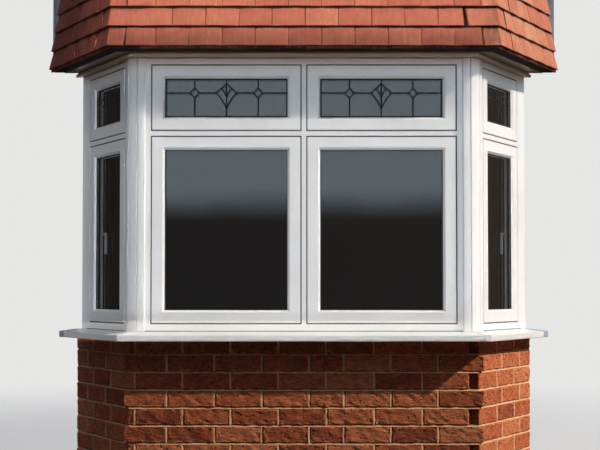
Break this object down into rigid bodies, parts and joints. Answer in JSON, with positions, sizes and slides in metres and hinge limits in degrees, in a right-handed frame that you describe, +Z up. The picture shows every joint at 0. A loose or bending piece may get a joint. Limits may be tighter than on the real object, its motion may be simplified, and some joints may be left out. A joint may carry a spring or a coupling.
{
  "type": "bay window",
  "caption": "Splayed ground-floor bay window with a red brick dwarf wall, white PVC-U flush sashes, leaded top lights, a tile-hung apron and a lead flat.",
  "frame": {"origin": "on the ground, at the middle of the plane where the bay meets the house wall", "axes": "+X to the right seen from outside, +Y back into the house, +Z up"},
  "size_m": [2.8388, 0.689, 3.179],
  "materials": {
    "clay_tile": "matt weathered red clay",
    "concrete": "trowelled",
    "facing_brick": "rough-faced red facing brick with pale mortar",
    "grey_plastic": "matt",
    "handle_metal": "white powder coat",
    "lead_sheet": "dull weathered lead",
    "plaster": "matt painted",
    "softwood": "sawn",
    "white_pvc": "satin white extruded PVC-U",
    "window_glass": "clear float glass"
  },
  "bodies": {
    "root": {"apron_ribs": "softwood", "boarding_front": "softwood", "boarding_left": "softwood", "boarding_right": "softwood", "ceiling_board": "plaster", "ceiling_joists": "softwood", "corner_post_left": "white_pvc", "corner_post_right": "white_pvc", "dwarf_wall_front": "facing_brick", "dwarf_wall_left": "facing_brick", "dwarf_wall_right": "facing_brick", "floor_slab": "concrete", "frame_front": "white_pvc", "frame_left": "white_pvc", "frame_right": "white_pvc", "glass_front": "window_glass", "glass_left": "window_glass", "glass_right": "window_glass", "head_board_front": "white_pvc", "head_board_left": "white_pvc", "head_board_right": "white_pvc", "head_plate_front": "softwood", "head_plate_left": "softwood", "head_plate_right": "softwood", "inner_plaster_front": "plaster", "inner_plaster_left": "plaster", "inner_plaster_right": "plaster", "lead_roof": "lead_sheet", "roof_deck": "softwood", "roof_joists": "softwood", "sash_front_lower_left": "white_pvc", "sash_front_lower_right": "white_pvc", "sash_front_upper_left": "white_pvc", "sash_front_upper_right": "white_pvc", "sash_left_lower": "white_pvc", "sash_left_upper": "white_pvc", "sash_right_lower": "white_pvc", "sash_right_upper": "white_pvc", "sill_corner_covers": "white_pvc", "sill_end_caps": "grey_plastic", "sill_front": "white_pvc", "sill_left": "white_pvc", "sill_right": "white_pvc", "soffit_front": "softwood", "soffit_left": "softwood", "soffit_right": "softwood", "tile_apron_front": "clay_tile", "tile_apron_left": "clay_tile", "tile_apron_right": "clay_tile", "wall_flashings": "lead_sheet", "wall_jambs": "white_pvc", "window_board_front": "white_pvc", "window_board_left": "white_pvc", "window_board_right": "white_pvc", "window_handles": "handle_metal"}
  },
  "joints": []
}
